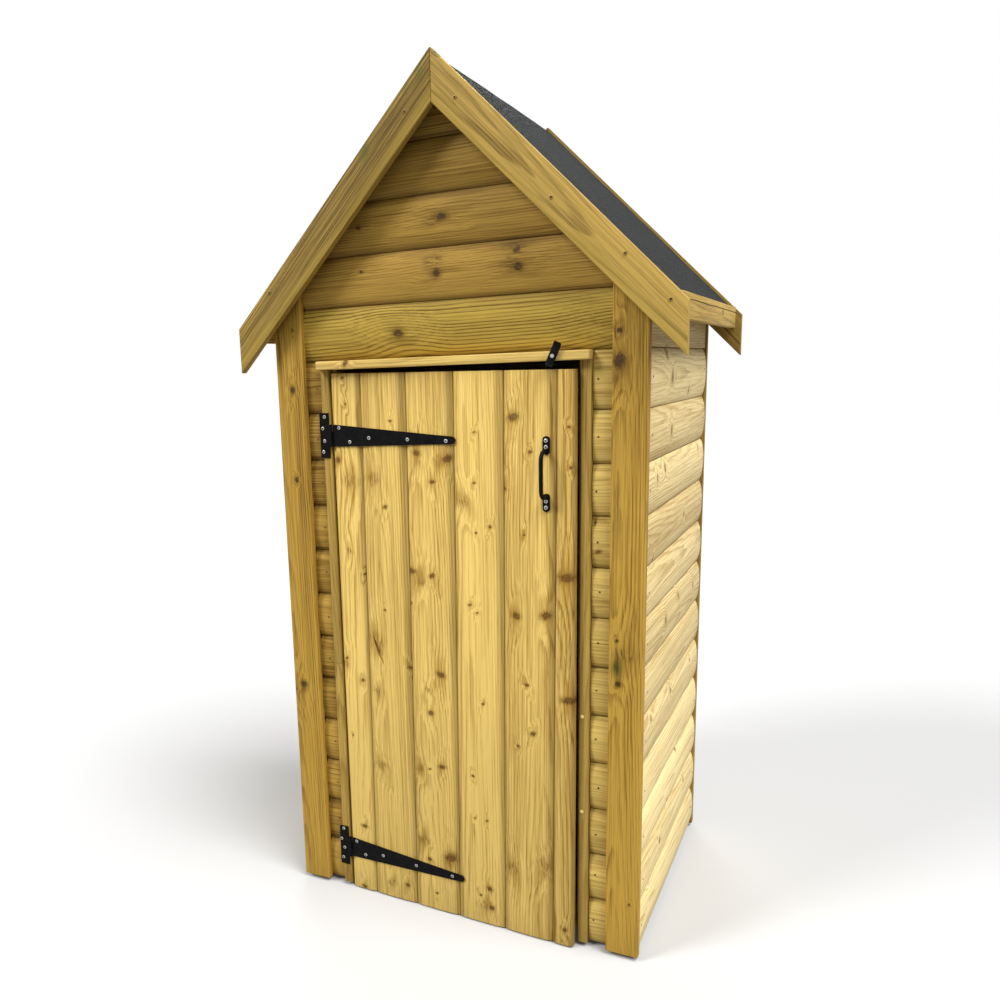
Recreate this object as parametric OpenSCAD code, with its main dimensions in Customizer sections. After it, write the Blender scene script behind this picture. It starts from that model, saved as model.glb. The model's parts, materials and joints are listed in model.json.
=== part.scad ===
// Small wooden tool shed: log-lap walls, steep felted roof, ledged and braced door on T-hinges.
// X runs to the right, Y to the back and Z up, in millimetres. The ground is at Z = 0.

/* [Body] */
// Depth over the faces of the front and back corner boards
body_d = 730; // [600:5:1000]
// Height of the feet of the cladding and trim above the ground
foot_gap = 10; // [4:1:20]
// Height of the underside of the header board over the door
head_h = 1395; // [1250:5:1600]

/* [Cladding] */
// Height that one log-lap course covers
course_h = 114.5; // [90:0.5:140]
// Thickness of a course at its crest
clad_t = 19; // [15:0.5:28]
// Depth of the notch between two courses, below the crest
notch_d = 9; // [4:0.5:11]
// Crest of the end walls' cladding behind the face of the corner boards
clad_setback = 14; // [8:1:19]
// Height of the header board, the first course of a gable
header_h = 124; // [100:1:150]
// Thickness of the plain plank at the top of each side wall
plank_t = 14; // [10:0.5:18]
// Height of the outer face of that plank, up to the roof deck
plank_h = 143; // [110:1:200]

/* [Trim] */
// Width of the cladding between a jamb strip and a corner board
panel_w = 45; // [30:1:150]
// Width of a corner board
corner_w = 76; // [60:1:95]
// Thickness of the corner boards and bargeboards
trim_t = 20; // [15:0.5:25]
// Width of the strips beside the door
jamb_w = 22; // [18:1:30]
// Face of the jamb strips and the shut door behind the corner boards' face
jamb_setback = 8; // [5:1:12]
// Height of the butt joint in the left jamb strip
jamb_joint_h = 630; // [300:10:1000]
// Height of the strip over the door
head_strip_h = 20; // [15:1:30]
// Reach of the head strip in front of the corner boards' face
head_strip_reach = 12; // [8:1:20]

/* [Roof] */
// Slope of the roof
roof_pitch = 45.5; // [40:0.5:50]
// Reach of the bargeboards' ends past the corner boards
eaves_reach = 80; // [55:1:150]
// Width of a bargeboard
barge_w = 75; // [60:1:100]
// Reach of a bargeboard's face past the corner boards
overhang = 38; // [26:1:80]
// Upper edge of the bargeboards above the felt
barge_rise = 6; // [3:0.5:15]
// Thickness of the mineral felt
felt_t = 2.5; // [1.5:0.5:4]
// Thickness of the roof deck
deck_t = 12; // [9:1:18]
// Thickness of the eaves fascia
fascia_t = 16; // [12:1:20]
// Height of the outer face of the eaves fascia
fascia_h = 37; // [28:1:60]
// Face of the eaves fascia inside the ends of the bargeboards
fascia_setback = 15; // [6:1:30]

/* [Frame] */
// Side of the square studs and rails
stud_s = 38; // [30:1:45]
// Width of a door post
post_w = 70; // [60:1:75]
// Lap of the door posts behind the edge of the door opening
post_lap = 10; // [8:1:14]
// Depth of the front and back head rails and of the ridge beam
rail_h = 70; // [50:1:90]
// Thickness of the floor boards
floor_t = 15; // [12:1:22]
// Height of a floor bearer
bearer_h = 32; // [25:1:50]
// Width of a floor bearer
bearer_w = 44; // [35:1:60]

/* [Door] */
// Width of the opening between the jamb strips
door_open_w = 624; // [560:1:660]
// Gap beside the door at the hinges
hinge_gap = 5; // [5:0.5:8]
// Gap beside the door at its free edge
latch_gap = 6; // [6:0.5:10]
// Gap between the door's upper edge and the head strip at the hinges
head_gap = 9; // [6:0.5:16]
// Fall of the door's upper edge towards its free side
door_fall = 10; // [4:0.5:16]
// Height of the door's lower edge above the ground
door_foot = 4; // [3:0.5:8]
// Thickness of the door boards
door_t = 20; // [16:0.5:20]
// Width of the first board, at the hinges
edge_board_w = 77; // [50:1:110]
// Width of the other boards
door_board_w = 122.5; // [95:0.5:140]
// Depth of the notch between two door boards, below their crests
door_notch_d = 5; // [2:0.5:8]
// Width of the ledges and braces behind the door
ledge_w = 70; // [50:1:90]
// Thickness of the ledges and braces
ledge_t = 20; // [15:0.5:22]
// Height of the middle of the lowest ledge above the door's lower edge
low_ledge_h = 100; // [88:1:180]
// Distance of the middle of the top ledge below the door's upper edge
top_ledge_drop = 120; // [80:1:220]
// Angle at which the door stands ajar
door_ajar = 2; // [1:0.25:2]

/* [Hinges] */
// Distance of the upper hinge's middle below the door's upper edge
upper_hinge_drop = 149; // [90:1:250]
// Height of the lower hinge's middle
lower_hinge_h = 120; // [100:1:250]
// Height of the fixed leaf
leaf_h = 110; // [80:1:140]
// Width of the fixed leaf
leaf_w = 26; // [20:1:30]
// Radius of the leaf's free corners
leaf_r = 4; // [2:0.5:8]
// Thickness of the leaf and the strap
plate_t = 2.5; // [2:0.25:4]
// Reach of the strap from the pin
strap_l = 335; // [250:5:420]
// Height of the strap at its root, and of the barrel
strap_root_h = 54; // [40:1:70]
// Height of the strap at its tip
strap_tip_h = 17; // [12:1:25]
// Slope of the strap down to its tip
strap_droop = 1.8; // [0:0.2:3]
// Diameter of the hinge barrel
barrel_d = 9; // [7:0.5:9.5]
// Diameter of the hinge pin
pin_d = 5; // [4:0.25:5.5]

/* [Handle] */
// Distance of the handle's middle below the door's upper edge
handle_drop = 232; // [120:1:500]
// Distance of the handle's middle from the door's free edge
handle_inset = 64; // [30:1:120]
// Overall length of the handle
handle_l = 165; // [120:1:200]
// Length of each foot plate
handle_foot_l = 40; // [30:1:45]
// Width of each foot plate
handle_foot_w = 19; // [15:1:25]
// Diameter of the grip bar
grip_d = 9; // [7:0.5:12]
// Distance of the grip's middle from the door's face
grip_reach = 34; // [28:1:45]
// Radius of the two bends of the grip, at the middle of the bar
grip_bend_r = 20; // [12:1:22]

/* [Turn button] */
// Distance of the turn button's pivot from the door opening's edge
button_inset = 54; // [25:1:120]
// Reach of the long arm from the pivot
button_long = 31; // [28:0.5:34]
// Reach of the short arm from the pivot
button_short = 23; // [16:0.5:24]
// Width of the turn button
button_w = 17; // [12:0.5:20]
// Height of the hub that holds the arms off the strip
button_hub_h = 5; // [4:0.5:8]
// Diameter of the pivot screw
button_screw_d = 4; // [3:0.25:5]
// Radius to which the ends of the arms are turned up
button_curl_r = 22; // [15:1:30]
// Angle through which the ends are turned up
button_curl = 30; // [15:1:32]
// Lean of the long arm to the right of upright
button_lean = 24; // [10:1:40]

/* [Hidden] */
// Gap between pieces that slide on each other
run_gap = 0.3;
// Radial clearance of a pin in its bore
pin_gap = 0.1;
// Side gap between a hinge plate and the other plate's barrel
barrel_gap = 1;
// Gap between the roof deck and what carries it
seat_gap = 0.2;
// Small allowance for cuts that pass right through
over = 1;

half_d = body_d / 2;
jamb_out = door_open_w / 2 + jamb_w;
inner_edge = jamb_out + panel_w;
half_w = inner_edge + corner_w;
side_back = half_w - clad_t;
end_back = half_d - clad_setback - clad_t;

felt_d = barge_rise;
deck_d = felt_d + felt_t;
soffit_d = deck_d + deck_t;
carry_d = soffit_d + seat_gap;
barge_half = half_w + eaves_reach;
fascia_x = barge_half - fascia_setback;
ridge_h = head_h + plank_h + (side_back + plank_t) * tan(roof_pitch) + soffit_d / cos(roof_pitch);
barge_face = half_d + overhang;
deck_end = barge_face - trim_t;

floor_h = bearer_h + floor_t;
plate_h = head_h + plank_h - 1.5 * stud_s;
strip_foot = head_h - head_strip_h;
strip_face = -half_d - head_strip_reach;

jamb_face = -half_d + jamb_setback;
door_left = -door_open_w / 2 + hinge_gap;
door_right = door_open_w / 2 - latch_gap;
door_back = jamb_face + door_t;
door_top = strip_foot - head_gap;
ledge_in = door_open_w / 2 - post_lap;
ledge_left = -ledge_in + 1.5 * hinge_gap;
ledge_right = ledge_in - 2 * latch_gap;
low_ledge = door_foot + low_ledge_h;
top_ledge = door_top - top_ledge_drop;
ledge_heights = [low_ledge, (low_ledge + top_ledge) / 2, top_ledge];
upper_hinge_h = door_top - upper_hinge_drop;
handle_h = door_top - handle_drop;
handle_x = door_right - handle_inset;
button_x = door_open_w / 2 - button_inset;

pin_x = door_left - hinge_gap / 2;
pin_y = jamb_face - barrel_d / 2 - run_gap;
knuckle_h = strap_root_h / 3;
plate_edge = barrel_d / 2 + barrel_gap;

course_count = floor((head_h - foot_gap) / course_h);
wall_joints = [for (i = [0 : course_count]) i < course_count ? foot_gap + i * course_h : head_h];
gable_count = ceil((ridge_h - head_h - header_h) / course_h);
gable_joints = [for (i = [0 : gable_count + 1]) i == 0 ? head_h : head_h + header_h + (i - 1) * course_h];

pine = [0.80, 0.66, 0.42];
trim_pine = [0.72, 0.55, 0.31];
door_pine = [0.86, 0.69, 0.40];
charcoal = [0.20, 0.20, 0.21];
black = [0.06, 0.06, 0.06];
zinc = [0.70, 0.70, 0.68];

// Height of a roof line at a distance across from the ridge, a depth square below the bargeboards' upper edge
function roof_z(x, d) = ridge_h - abs(x) * tan(roof_pitch) - d / cos(roof_pitch);

// Radius of the arc over one course
function course_r(h, notch) = (h * h / 4 + notch * notch) / (2 * notch);

// A flat shape drawn in X and Z, from y0 to y1
module along_y(y0, y1) {
    translate([0, y1, 0]) rotate([90, 0, 0]) linear_extrude(y1 - y0) children();
}

// A flat shape drawn in Y and Z, from x0 to x1
module along_x(x0, x1) {
    translate([x0, 0, 0]) rotate([90, 0, 90]) linear_extrude(x1 - x0) children();
}

// A block between two opposite corners
module block(low, high) {
    translate(low) cube(high - low);
}

// The same piece on the left of the shed as on the right
module on_left() {
    mirror([1, 0, 0]) children();
}

// The same piece on the back of the shed as on the front
module on_back() {
    mirror([0, 1, 0]) children();
}

// Section of log-lap courses, with its flat back on the Y axis and its crests facing +X
module loglap_section(joints, t, notch) {
    last = len(joints) - 1;
    translate([0, joints[0]]) square([t - notch, joints[last] - joints[0]]);
    for (i = [0 : last - 1]) {
        h = joints[i + 1] - joints[i];
        r = course_r(h, notch);
        intersection() {
            translate([0, joints[i]]) square([t, h]);
            translate([t - r, joints[i] + h / 2]) circle(r, $fn = 96);
        }
    }
}

// The right half of a layer of the roof, between two depths, drawn in X and Z
module roof_layer(x0, x1, d0, d1) {
    polygon([
        [x0, roof_z(x0, d1)], [x1, roof_z(x1, d1)],
        [x1, roof_z(x1, d0)], [x0, roof_z(x0, d0)]
    ]);
}

// The space under the roof deck, between two edges and above a foot, drawn in X and Z
module under_roof(x0, x1, foot) {
    polygon(concat(
        [[x0, foot], [x1, foot], [x1, roof_z(x1, carry_d)]],
        x0 < 0 ? [[0, roof_z(0, carry_d)]] : [],
        [[x0, roof_z(x0, carry_d)]]
    ));
}

// Floor

module floor_bearers() {
    color(pine)
    for (side = [-1, 0, 1])
        translate([side * (side_back - bearer_w / 2) - bearer_w / 2, -end_back, 0])
            cube([bearer_w, 2 * end_back, bearer_h]);
}

module floor_boards() {
    color(pine) block([-side_back, -end_back, bearer_h], [side_back, end_back, floor_h]);
}

// Frame

module right_bottom_rail() {
    color(pine)
    block([side_back - stud_s, -half_d + trim_t + stud_s, floor_h],
          [side_back, half_d - trim_t - stud_s, floor_h + stud_s]);
}

module left_bottom_rail() {
    on_left() right_bottom_rail();
}

module back_bottom_rail() {
    color(pine)
    block([-side_back + stud_s, end_back - stud_s, floor_h], [side_back - stud_s, end_back, floor_h + stud_s]);
}

module corner_studs() {
    color(pine)
    for (x = [-side_back, side_back - stud_s], y = [-half_d + trim_t, half_d - trim_t - stud_s])
        translate([x, y, floor_h]) cube([stud_s, stud_s, plate_h - floor_h]);
}

module door_posts() {
    color(pine)
    for (x = [-ledge_in - post_w, ledge_in])
        translate([x, -end_back, floor_h]) cube([post_w, stud_s, strip_foot - floor_h]);
}

module head_rails() {
    rail_l = 2 * (side_back - stud_s);
    color(pine)
    for (y = [-end_back, end_back - stud_s])
        translate([-rail_l / 2, y, strip_foot]) cube([rail_l, stud_s, rail_h]);
}

module wall_plates() {
    color(pine)
    for (side = [0, 1])
        mirror([side, 0, 0])
            along_y(-half_d + trim_t, half_d - trim_t) under_roof(side_back - stud_s, side_back, plate_h);
}

module ridge_beam() {
    color(pine)
    along_y(-end_back, end_back)
        under_roof(-stud_s / 2, stud_s / 2, roof_z(0, carry_d) - rail_h);
}

// Walls

module right_wall() {
    color(pine)
    along_y(-half_d + trim_t, half_d - trim_t) {
        translate([side_back, 0]) loglap_section(wall_joints, clad_t, notch_d);
        under_roof(side_back, side_back + plank_t, head_h);
    }
}

module left_wall() {
    on_left() right_wall();
}

module end_cladding(x0, x1, joints) {
    color(pine)
    along_x(x0, x1)
        translate([-end_back, 0]) mirror([1, 0]) loglap_section(joints, clad_t, notch_d);
}

module front_right_wall() {
    end_cladding(jamb_out, inner_edge, wall_joints);
}

module front_left_wall() {
    on_left() front_right_wall();
}

module front_gable() {
    color(pine)
    intersection() {
        end_cladding(-inner_edge, inner_edge, gable_joints);
        along_y(-half_d, -end_back + over) under_roof(-inner_edge, inner_edge, head_h);
    }
}

module back_wall() {
    on_back() end_cladding(-inner_edge, inner_edge, wall_joints);
}

module back_gable() {
    on_back() front_gable();
}

// Trim

module front_right_corner_board() {
    color(trim_pine)
    along_y(-half_d, -half_d + trim_t) under_roof(inner_edge, half_w, foot_gap);
}

module front_left_corner_board() {
    on_left() front_right_corner_board();
}

module back_right_corner_board() {
    on_back() front_right_corner_board();
}

module back_left_corner_board() {
    on_left() back_right_corner_board();
}

module jamb_strip(foot, top) {
    color(trim_pine)
    block([door_open_w / 2, jamb_face, foot], [jamb_out, -end_back, top]);
}

module right_jamb() {
    jamb_strip(foot_gap, strip_foot);
}

module left_jamb_upper() {
    on_left() jamb_strip(jamb_joint_h, strip_foot);
}

module left_jamb_lower() {
    on_left() jamb_strip(foot_gap, jamb_joint_h);
}

module door_head_strip() {
    color(trim_pine) block([-jamb_out, strip_face, strip_foot], [jamb_out, -end_back, head_h]);
}

// Roof

module right_roof_deck() {
    color(pine)
    along_y(-deck_end, deck_end) roof_layer(0, fascia_x - fascia_t, deck_d, soffit_d);
}

module left_roof_deck() {
    on_left() right_roof_deck();
}

module roof_felt() {
    color(charcoal)
    along_y(-deck_end, deck_end)
        polygon([
            [-fascia_x, roof_z(fascia_x, deck_d)], [0, roof_z(0, deck_d)], [fascia_x, roof_z(fascia_x, deck_d)],
            [fascia_x, roof_z(fascia_x, felt_d)], [0, roof_z(0, felt_d)], [-fascia_x, roof_z(fascia_x, felt_d)]
        ]);
}

module right_eaves_fascia() {
    inner_x = fascia_x - fascia_t;
    foot = roof_z(fascia_x, deck_d) - fascia_h;
    color(trim_pine)
    along_y(-deck_end, deck_end)
        polygon([
            [inner_x, foot], [fascia_x, foot],
            [fascia_x, roof_z(fascia_x, deck_d)], [inner_x, roof_z(inner_x, deck_d)]
        ]);
}

module left_eaves_fascia() {
    on_left() right_eaves_fascia();
}

module front_right_bargeboard() {
    color(trim_pine)
    along_y(-barge_face, -deck_end) roof_layer(0, barge_half, 0, barge_w);
}

module front_left_bargeboard() {
    on_left() front_right_bargeboard();
}

module back_right_bargeboard() {
    on_back() front_right_bargeboard();
}

module back_left_bargeboard() {
    on_left() back_right_bargeboard();
}

// Hinges

// Outline of the fixed leaf with its two free corners rounded, drawn in X and Z
module leaf_outline() {
    free_edge = -plate_edge - leaf_w;
    translate([free_edge + leaf_r, -leaf_h / 2]) square([leaf_w - leaf_r, leaf_h]);
    translate([free_edge, leaf_r - leaf_h / 2]) square([leaf_w, leaf_h - 2 * leaf_r]);
    for (side = [-1, 1])
        translate([free_edge + leaf_r, side * (leaf_h / 2 - leaf_r)]) circle(leaf_r, $fn = 48);
}

module hinge_leaf(h) {
    color(black)
    translate([pin_x, pin_y, h]) {
        difference() {
            union() {
                along_y(jamb_face - plate_t - pin_y, jamb_face - pin_y) leaf_outline();
                for (side = [-1, 1])
                    translate([-plate_edge - over, jamb_face - plate_t - pin_y, side * knuckle_h - knuckle_h / 2])
                        cube([plate_edge + over, plate_t, knuckle_h]);
                cylinder(d = barrel_d, h = strap_root_h, center = true, $fn = 48);
            }
            cylinder(d = barrel_d + 2 * run_gap + over, h = knuckle_h + 2 * run_gap, center = true, $fn = 48);
        }
        cylinder(d = pin_d, h = strap_root_h, center = true, $fn = 48);
    }
}

module upper_hinge_leaf() {
    hinge_leaf(upper_hinge_h);
}

module lower_hinge_leaf() {
    hinge_leaf(lower_hinge_h);
}

// A piece of the door, turned with it about the hinge pins
module on_door() {
    translate([pin_x, pin_y, 0]) rotate([0, 0, -door_ajar]) translate([-pin_x, -pin_y, 0]) children();
}

// Outline of the strap, from the side of the barrel to its round tip, drawn in X and Z
module strap_outline() {
    tip_r = strap_tip_h / 2;
    rotate(-strap_droop) {
        polygon([
            [plate_edge, -strap_root_h / 2], [strap_l - tip_r, -tip_r],
            [strap_l - tip_r, tip_r], [plate_edge, strap_root_h / 2]
        ]);
        translate([strap_l - tip_r, 0]) circle(tip_r, $fn = 48);
    }
}

module hinge_strap(h) {
    color(black)
    on_door()
    translate([pin_x, pin_y, h])
    difference() {
        union() {
            along_y(jamb_face - plate_t - pin_y, jamb_face - pin_y) strap_outline();
            translate([0, jamb_face - plate_t - pin_y, -knuckle_h / 2])
                cube([plate_edge + 2 * over, plate_t, knuckle_h]);
            cylinder(d = barrel_d, h = knuckle_h, center = true, $fn = 48);
        }
        cylinder(d = pin_d + 2 * pin_gap, h = leaf_h, center = true, $fn = 48);
    }
}

module upper_hinge_strap() {
    hinge_strap(upper_hinge_h);
}

module lower_hinge_strap() {
    hinge_strap(lower_hinge_h);
}

// Door

module door_boards() {
    door_w = door_right - door_left;
    full_boards = floor((door_w - edge_board_w) / door_board_w);
    edges = concat(
        [door_left],
        [for (i = [0 : full_boards]) door_left + edge_board_w + i * door_board_w],
        [door_right]
    );
    color(door_pine)
    on_door()
    difference() {
        translate([0, door_back, door_foot]) linear_extrude(door_top - door_foot)
            rotate(-90) loglap_section(edges, door_t, door_notch_d);
        along_y(jamb_face - over, door_back + over)
            polygon([
                [door_left - over, door_top], [door_right + over, door_top - door_fall],
                [door_right + over, door_top + over], [door_left - over, door_top + over]
            ]);
    }
}

module door_ledges() {
    color(door_pine)
    on_door()
    for (h = ledge_heights)
        block([ledge_left, door_back, h - ledge_w / 2], [ledge_right, door_back + ledge_t, h + ledge_w / 2]);
}

module door_braces() {
    color(door_pine)
    on_door()
    for (i = [0, 1])
        along_y(door_back, door_back + ledge_t)
            polygon([
                [ledge_left, ledge_heights[i] + ledge_w / 2],
                [ledge_left + ledge_w, ledge_heights[i] + ledge_w / 2],
                [ledge_right, ledge_heights[i + 1] - ledge_w / 2],
                [ledge_right - ledge_w, ledge_heights[i + 1] - ledge_w / 2]
            ]);
}

// Round-ended plate, drawn upright about its middle
module round_ended(l, w) {
    square([w, l - w], center = true);
    for (side = [-1, 1]) translate([0, side * (l - w) / 2]) circle(d = w, $fn = 48);
}

// Upper bend of the grip and the leg that runs from it into the foot plate
module grip_end(bar_h) {
    leg_l = grip_reach - grip_bend_r;
    translate([0, -leg_l, bar_h]) {
        rotate([90, 0, -90]) rotate_extrude(angle = 90, $fn = 96)
            translate([grip_bend_r, 0]) circle(d = grip_d, $fn = 48);
        translate([0, 0, grip_bend_r]) rotate([-90, 0, 0])
            cylinder(d = grip_d, h = leg_l - plate_t / 2, $fn = 48);
    }
}

module pull_handle() {
    foot_h = (handle_l - handle_foot_l) / 2;
    leg_h = handle_l / 2 - handle_foot_l + handle_foot_w / 2;
    bar_h = leg_h - grip_bend_r;
    color(black)
    on_door()
    translate([handle_x, jamb_face, handle_h]) {
        for (side = [-1, 1])
            along_y(-plate_t, 0) translate([0, side * foot_h]) round_ended(handle_foot_l, handle_foot_w);
        grip_end(bar_h);
        mirror([0, 0, 1]) grip_end(bar_h);
        translate([0, -grip_reach, -bar_h]) cylinder(d = grip_d, h = 2 * bar_h, $fn = 48);
    }
}

// Turn button

// Places a piece that is drawn upright about the pivot, with its axis pointing out of the front
module on_pivot() {
    translate([button_x, strip_face, (strip_foot + head_h) / 2]) rotate([90, 0, 0]) children();
}

// End of an arm, turned up away from the strip, that reaches a given distance along Y
module turned_up_end(reach) {
    outer_r = button_curl_r + plate_t;
    translate([0, reach - outer_r * sin(button_curl), button_hub_h + outer_r])
        rotate([0, 90, 0]) rotate_extrude(angle = button_curl, $fn = 96)
            translate([button_curl_r, -button_w / 2]) square([plate_t, button_w]);
}

module turn_button() {
    curl_l = (button_curl_r + plate_t) * sin(button_curl);
    arms_l = button_long + button_short;
    color(black)
    on_pivot()
    rotate(-button_lean)
    difference() {
        union() {
            translate([0, 0, run_gap]) cylinder(d = button_w * 0.7, h = button_hub_h + over, $fn = 48);
            intersection() {
                translate([0, arms_l / 2 - button_short]) linear_extrude(button_hub_h + button_curl_r)
                    round_ended(arms_l, button_w);
                union() {
                    block(
                        [-button_w / 2, curl_l - button_short, button_hub_h],
                        [button_w / 2, button_long - curl_l, button_hub_h + plate_t]
                    );
                    turned_up_end(button_long);
                    mirror([0, 1, 0]) turned_up_end(button_short);
                }
            }
        }
        cylinder(d = button_screw_d + 2 * pin_gap, h = button_hub_h + 2 * plate_t, $fn = 48);
    }
}

module turn_button_screw() {
    seat = button_hub_h + plate_t + run_gap;
    color(zinc)
    on_pivot() {
        cylinder(d = button_screw_d, h = seat, $fn = 48);
        translate([0, 0, seat]) cylinder(d = 2 * button_screw_d, h = plate_t, $fn = 48);
    }
}

floor_bearers();
floor_boards();
left_bottom_rail();
right_bottom_rail();
back_bottom_rail();
corner_studs();
door_posts();
head_rails();
wall_plates();
ridge_beam();
left_wall();
right_wall();
back_wall();
back_gable();
front_left_wall();
front_right_wall();
front_gable();
front_left_corner_board();
front_right_corner_board();
back_left_corner_board();
back_right_corner_board();
left_jamb_upper();
left_jamb_lower();
right_jamb();
door_head_strip();
left_roof_deck();
right_roof_deck();
roof_felt();
left_eaves_fascia();
right_eaves_fascia();
front_left_bargeboard();
front_right_bargeboard();
back_left_bargeboard();
back_right_bargeboard();
upper_hinge_leaf();
lower_hinge_leaf();
door_boards();
door_ledges();
door_braces();
upper_hinge_strap();
lower_hinge_strap();
pull_handle();
turn_button();
turn_button_screw();
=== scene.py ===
import bpy
import json
import math
import random
from mathutils import Matrix, Vector


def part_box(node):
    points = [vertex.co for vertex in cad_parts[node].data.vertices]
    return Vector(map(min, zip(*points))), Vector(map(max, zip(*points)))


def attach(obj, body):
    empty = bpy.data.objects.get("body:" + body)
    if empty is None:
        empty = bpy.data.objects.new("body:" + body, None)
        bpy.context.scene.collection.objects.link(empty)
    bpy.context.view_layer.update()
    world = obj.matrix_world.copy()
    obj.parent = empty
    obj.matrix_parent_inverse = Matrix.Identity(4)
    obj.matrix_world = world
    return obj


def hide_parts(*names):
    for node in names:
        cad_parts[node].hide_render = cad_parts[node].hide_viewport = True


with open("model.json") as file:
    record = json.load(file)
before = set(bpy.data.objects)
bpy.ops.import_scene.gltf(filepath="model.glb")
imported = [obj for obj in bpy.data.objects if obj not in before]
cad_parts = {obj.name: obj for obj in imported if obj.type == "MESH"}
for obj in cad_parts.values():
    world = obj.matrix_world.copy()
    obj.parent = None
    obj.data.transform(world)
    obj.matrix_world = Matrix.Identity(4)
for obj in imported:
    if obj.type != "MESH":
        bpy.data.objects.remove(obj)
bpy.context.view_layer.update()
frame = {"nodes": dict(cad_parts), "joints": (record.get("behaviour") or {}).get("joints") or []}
random.seed(23)
xAxis, yAxis, zAxis = Vector((1, 0, 0)), Vector((0, 1, 0)), Vector((0, 0, 1))
front, back, rightward = -yAxis, yAxis, xAxis
for node in frame["nodes"].values():
    node.select_set(False)

# camera, where the photo was taken from
photo = {
    "place": (0.8645, -2.2928, 1.3621),  # metres in the shed's frame
    "yaw": 28.32, "pitch": 11.39, "roll": -2.153,  # degrees
    "lens": 32.93, "sensor": 36.0,  # mm
    "shift": (0.1167, 0.0577),  # the photo is a crop of a wider one
    "pixels": 1000,
}


def aimCamera():
    pitch, roll = math.radians(photo["pitch"]), math.radians(photo["roll"])
    turn = Matrix.Rotation(math.radians(photo["yaw"]), 3, "Z")
    ahead = turn @ Vector((0, math.cos(pitch), -math.sin(pitch)))
    level = turn @ xAxis
    upright = level.cross(ahead)
    right = math.cos(roll) * level + math.sin(roll) * upright
    up = -math.sin(roll) * level + math.cos(roll) * upright
    return right, up, ahead


viewRight, viewUp, viewAhead = aimCamera()
bpy.ops.object.camera_add(location=photo["place"])
camera = bpy.context.object
camera.data.lens, camera.data.sensor_width = photo["lens"], photo["sensor"]
camera.data.shift_x, camera.data.shift_y = photo["shift"]
camera.rotation_euler = Matrix((viewRight, viewUp, -viewAhead)).transposed().to_euler()
bpy.context.scene.camera = camera


def seenOn(pixel, point, normal):  # where a photo pixel meets a plane of the shed
    size = photo["pixels"]
    focal = photo["lens"] / photo["sensor"] * size
    across = pixel[0] - size * (0.5 - photo["shift"][0])
    down = pixel[1] - size * (0.5 + photo["shift"][1])
    ray = viewAhead + viewRight * across / focal - viewUp * down / focal
    eye = Vector(photo["place"])
    return eye + ray * ((Vector(point) - eye).dot(normal) / ray.dot(normal))


print("camera set")


# the shed's own lines, read from the frame
def jointNamed(name):
    return next(joint for joint in frame["joints"] if joint["name"] == name)


roofLine = {"pitch": math.radians(45.5), "underDeck": 0.0207}
roofLine["ridge"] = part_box("front_right_bargeboard")[1].z
hingePin = Vector(jointNamed("door_hinge")["pos_m"])
doorAjar = math.radians(jointNamed("door_hinge")["range_deg"][0])  # from shut to where it rests
doorTurn = Matrix.Translation(hingePin) @ Matrix.Rotation(doorAjar, 4, "Z") @ Matrix.Translation(-hingePin)


def roofNormal(side):
    return Vector((side * math.sin(roofLine["pitch"]), 0, math.cos(roofLine["pitch"])))


def turnedBy(degrees, axis):
    return Matrix.Rotation(math.radians(degrees), 4, axis)


# modelling helpers
def enter(mode):
    bpy.ops.object.mode_set(mode=mode)


def clearPick():
    active = bpy.context.view_layer.objects.active
    if active and active.mode != "OBJECT":
        enter("OBJECT")
    bpy.ops.object.select_all(action="DESELECT")


def focus(piece):
    clearPick()
    piece.select_set(True)
    bpy.context.view_layer.objects.active = piece
    return piece


def pick(piece, kind, test):  # select by place or normal, and stay in edit mode
    enter("EDIT")
    bpy.ops.mesh.select_mode(type=kind)
    bpy.ops.mesh.select_all(action="DESELECT")
    enter("OBJECT")
    mesh = piece.data
    points = mesh.vertices
    if kind == "VERT":
        for v in points:
            v.select = test(v.co)
    elif kind == "EDGE":
        for e in mesh.edges:
            e.select = test(points[e.vertices[0]].co, points[e.vertices[1]].co)
    else:
        for f in mesh.polygons:
            f.select = test(f.center, f.normal)
    enter("EDIT")


def done():
    enter("OBJECT")


def applyPlace():
    bpy.ops.object.transform_apply(location=True, rotation=True, scale=True)
    return bpy.context.object


def startBlock(name, low, high):  # a cube at its size and place, with its place in the mesh
    clearPick()
    low, high = Vector(low), Vector(high)
    bpy.ops.mesh.primitive_cube_add(size=1, location=(low + high) / 2)
    piece = bpy.context.object
    piece.name = name
    piece.scale = high - low
    return applyPlace()


def startDisc(sides, radius, depth, middle):  # a cylinder that faces the front
    clearPick()
    bpy.ops.mesh.primitive_cylinder_add(vertices=sides, radius=radius, depth=depth, location=(0, middle, 0),
                                        rotation=(math.pi / 2, 0, 0))
    return applyPlace()


def useModifier(piece, kind, **values):
    focus(piece)
    modifier = piece.modifiers.new(kind.lower(), kind)
    for key, value in values.items():
        setattr(modifier, key, value)
    bpy.ops.object.modifier_apply(modifier=modifier.name)


def softenEdges(piece, width, segments=2, angle=40):
    useModifier(piece, "BEVEL", width=width, segments=segments, limit_method="ANGLE",
                angle_limit=math.radians(angle), harden_normals=False)


def carve(piece, tool):
    useModifier(piece, "BOOLEAN", object=tool, operation="DIFFERENCE", solver="EXACT")
    discard(tool)


def editAll(piece):
    focus(piece)
    enter("EDIT")
    bpy.ops.mesh.select_all(action="SELECT")


def cutAway(piece, point, normal):  # saw off what lies beyond a plane
    editAll(piece)
    bpy.ops.mesh.bisect(plane_co=point, plane_no=normal, use_fill=True, clear_outer=True)
    done()


def cutToRoof(piece, sides=(-1, 1)):  # under the roof deck
    drop = roofLine["underDeck"] / math.cos(roofLine["pitch"])
    for side in sides:
        cutAway(piece, (0, 0, roofLine["ridge"] - drop), roofNormal(side))


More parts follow.
